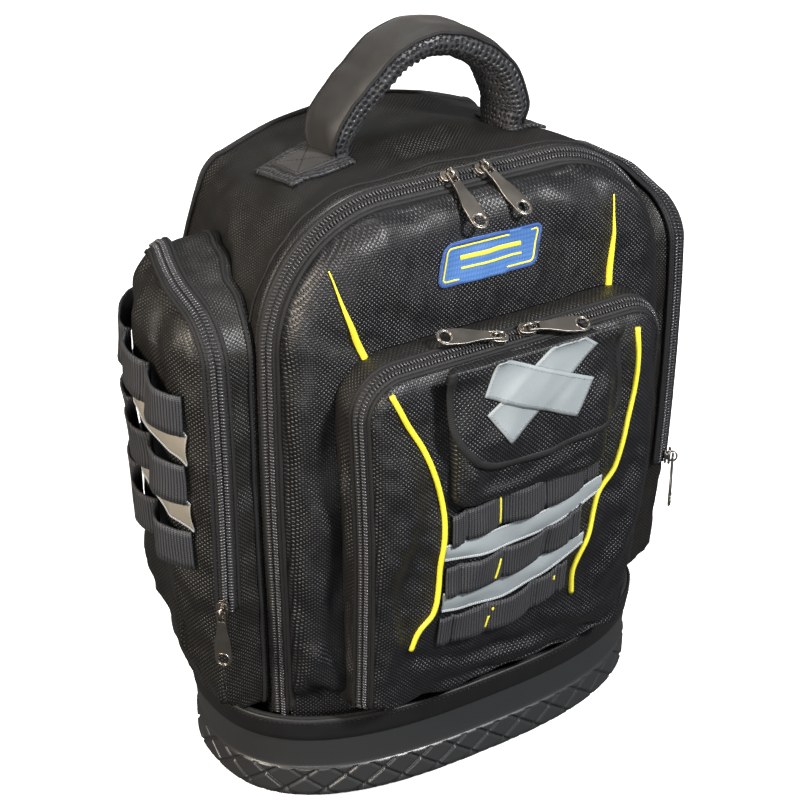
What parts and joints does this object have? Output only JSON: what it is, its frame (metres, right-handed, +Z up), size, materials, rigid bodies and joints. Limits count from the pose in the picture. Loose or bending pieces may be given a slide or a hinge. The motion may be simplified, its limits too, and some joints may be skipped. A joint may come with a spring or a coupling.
{
  "type": "tool backpack",
  "caption": "Tall tool backpack in a moulded rubber boot, with front box pocket, side pockets, tool loops, reflective strips, piping and a padded carrying handle.",
  "frame": {"origin": "middle of the rubber boot's flat underside", "axes": "+Z up, -Y towards the front with the box pocket, +X towards the left hand of the wearer"},
  "size_m": [0.4095, 0.2969, 0.5049],
  "materials": {
    "rubber_boot": "satin moulded rubber",
    "zip_coil": "black nylon coil on woven tape",
    "reflective_film": "grey retroreflective cloth",
    "piping": "yellow covered piping",
    "label": "blue embroidered patch",
    "webbing": "black polyester webbing",
    "zip_metal": "nickel-plated zinc",
    "spacer_mesh": "black spacer mesh",
    "buckle_plastic": "black moulded acetal",
    "flap_cloth": "black ballistic nylon with bound edge",
    "handle_cloth": "grey padded nylon",
    "pack_cloth": "black 1680D ballistic nylon"
  },
  "bodies": {
    "bag": {"back_panel": "spacer_mesh", "base_tray": "rubber_boot", "flap_pocket": "pack_cloth", "flap_strip_falling": "reflective_film", "flap_strip_rising": "reflective_film", "front_lid": "pack_cloth", "front_pocket": "pack_cloth", "front_pocket_cover": "pack_cloth", "front_pocket_zip": "zip_coil", "front_strip_1": "reflective_film", "front_strip_2": "reflective_film", "front_webbing_1": "webbing", "front_webbing_2": "webbing", "front_webbing_3": "webbing", "handle": "handle_cloth", "handle_foot_left": "webbing", "handle_foot_right": "webbing", "label_patch": "label", "lower_piping_left": "piping", "lower_piping_right": "piping", "main_zip": "zip_coil", "pocket_flap": "flap_cloth", "rear_shell": "pack_cloth", "shoulder_strap_left": "spacer_mesh", "shoulder_strap_right": "spacer_mesh", "side_pocket_left": "pack_cloth", "side_pocket_right": "pack_cloth", "side_strip_left_1": "reflective_film", "side_strip_left_2": "reflective_film", "side_strip_right_1": "reflective_film", "side_strip_right_2": "reflective_film", "side_webbing_left_1": "webbing", "side_webbing_left_2": "webbing", "side_webbing_left_3": "webbing", "side_webbing_right_1": "webbing", "side_webbing_right_2": "webbing", "side_webbing_right_3": "webbing", "side_zip_left": "zip_coil", "side_zip_right": "zip_coil", "slider_main_left": "zip_metal", "slider_main_right": "zip_metal", "slider_pocket_left": "zip_metal", "slider_pocket_right": "zip_metal", "slider_side_left": "zip_metal", "slider_side_right": "zip_metal", "strap_buckle_left": "buckle_plastic", "strap_buckle_right": "buckle_plastic", "strap_tail_left": "webbing", "strap_tail_right": "webbing", "upper_piping_left": "piping", "upper_piping_right": "piping"},
    "pull_main_left": {"pull_main_left": "zip_metal"},
    "pull_main_right": {"pull_main_right": "zip_metal"},
    "pull_pocket_left": {"pull_pocket_left": "zip_metal"},
    "pull_pocket_right": {"pull_pocket_right": "zip_metal"},
    "pull_side_left": {"pull_side_left": "zip_metal"},
    "pull_side_right": {"pull_side_right": "zip_metal"}
  },
  "joints": [
    {"name": "pull_main_left_swing", "type": "hinge", "parent": "bag", "child": "pull_main_left", "pos_m": [-0.014, -0.06558, 0.43529], "axis": [-0.9986, -0.0423, -0.0308], "range_deg": [0, 160]},
    {"name": "pull_main_right_swing", "type": "hinge", "parent": "bag", "child": "pull_main_right", "pos_m": [0.011, -0.06563, 0.43537], "axis": [-0.9613, -0.2229, -0.1621], "range_deg": [0, 160]},
    {"name": "pull_pocket_left_swing", "type": "hinge", "parent": "bag", "child": "pull_pocket_left", "pos_m": [-0.014, -0.12206, 0.34877], "axis": [0.2419, 0.832, 0.4992], "range_deg": [0, 100]},
    {"name": "pull_pocket_right_swing", "type": "hinge", "parent": "bag", "child": "pull_pocket_right", "pos_m": [0.008, -0.12206, 0.34877], "axis": [-0.2419, -0.832, -0.4992], "range_deg": [0, 100]},
    {"name": "pull_side_left_swing", "type": "hinge", "parent": "bag", "child": "pull_side_left", "pos_m": [-0.18423, -0.06343, 0.17044], "axis": [-0.7071, 0.7071, 0], "range_deg": [0, 160]},
    {"name": "pull_side_right_swing", "type": "hinge", "parent": "bag", "child": "pull_side_right", "pos_m": [0.18384, -0.063, 0.17044], "axis": [-0.7071, -0.7071, 0], "range_deg": [0, 160]}
  ]
}
